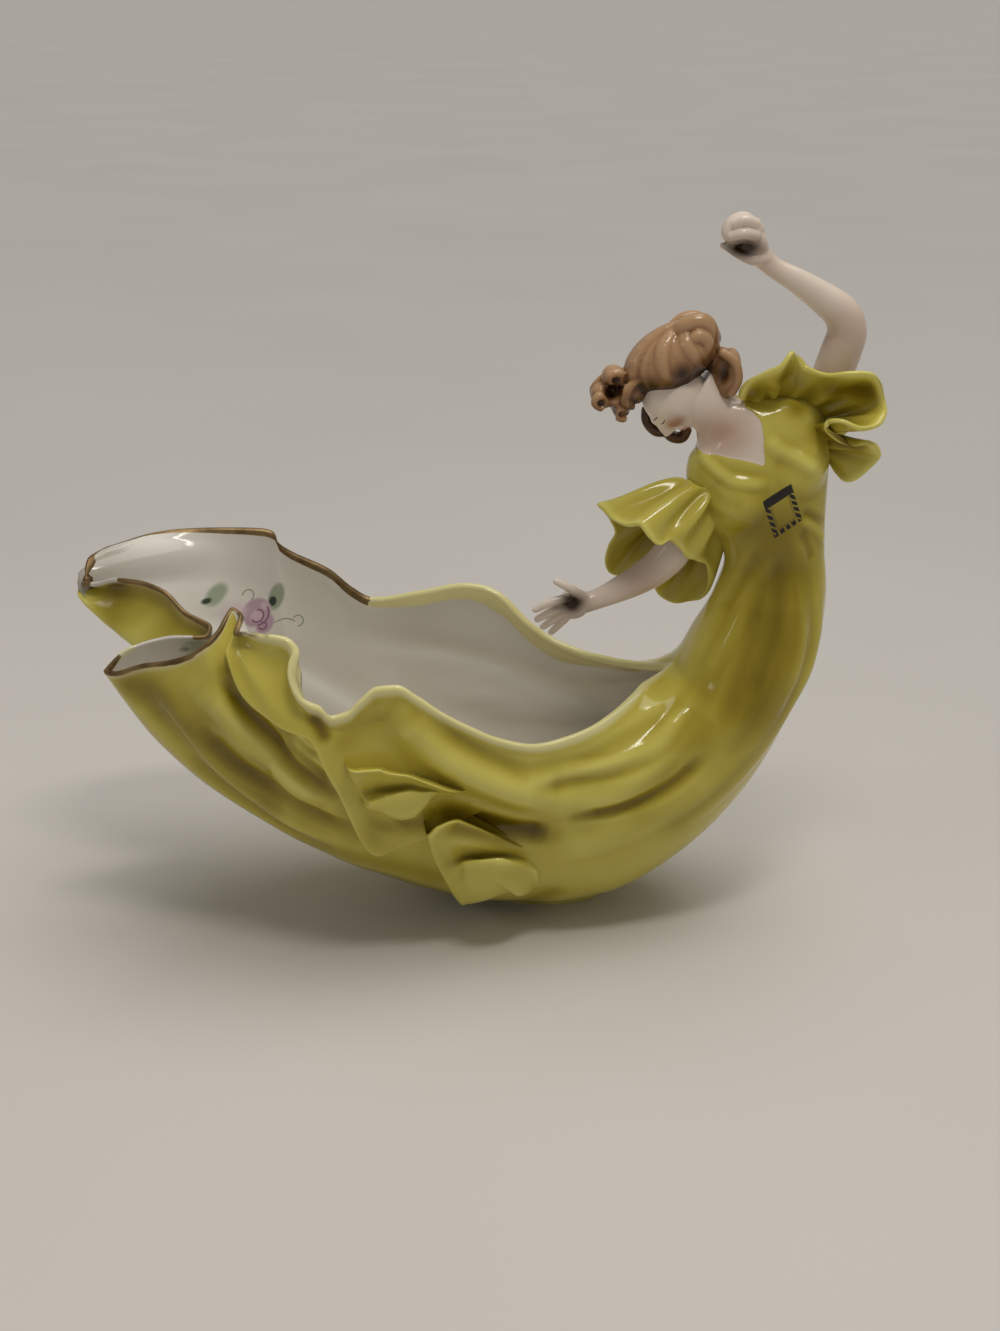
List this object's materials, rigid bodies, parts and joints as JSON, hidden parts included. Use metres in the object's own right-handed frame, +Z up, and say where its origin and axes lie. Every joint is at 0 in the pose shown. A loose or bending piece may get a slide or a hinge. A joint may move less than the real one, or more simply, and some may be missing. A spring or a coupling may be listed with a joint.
{
  "type": "figural porcelain centrepiece bowl",
  "caption": "Glazed porcelain lady with one arm raised, whose long skirt sweeps down and opens into a boat-shaped bowl with a fluted gilt hem.",
  "frame": {"origin": "middle of the flat foot's underside, on the ground", "axes": "+X from the bowl's hem towards the lady, -Y the side seen in the picture, +Z up"},
  "size_m": [0.3034, 0.1158, 0.2731],
  "materials": {
    "glazed_porcelain": "high-gloss glaze over chartreuse, white, flesh and auburn painting, with a gilt hem"
  },
  "bodies": {
    "root": {"figural_bowl": "glazed_porcelain"}
  },
  "joints": []
}
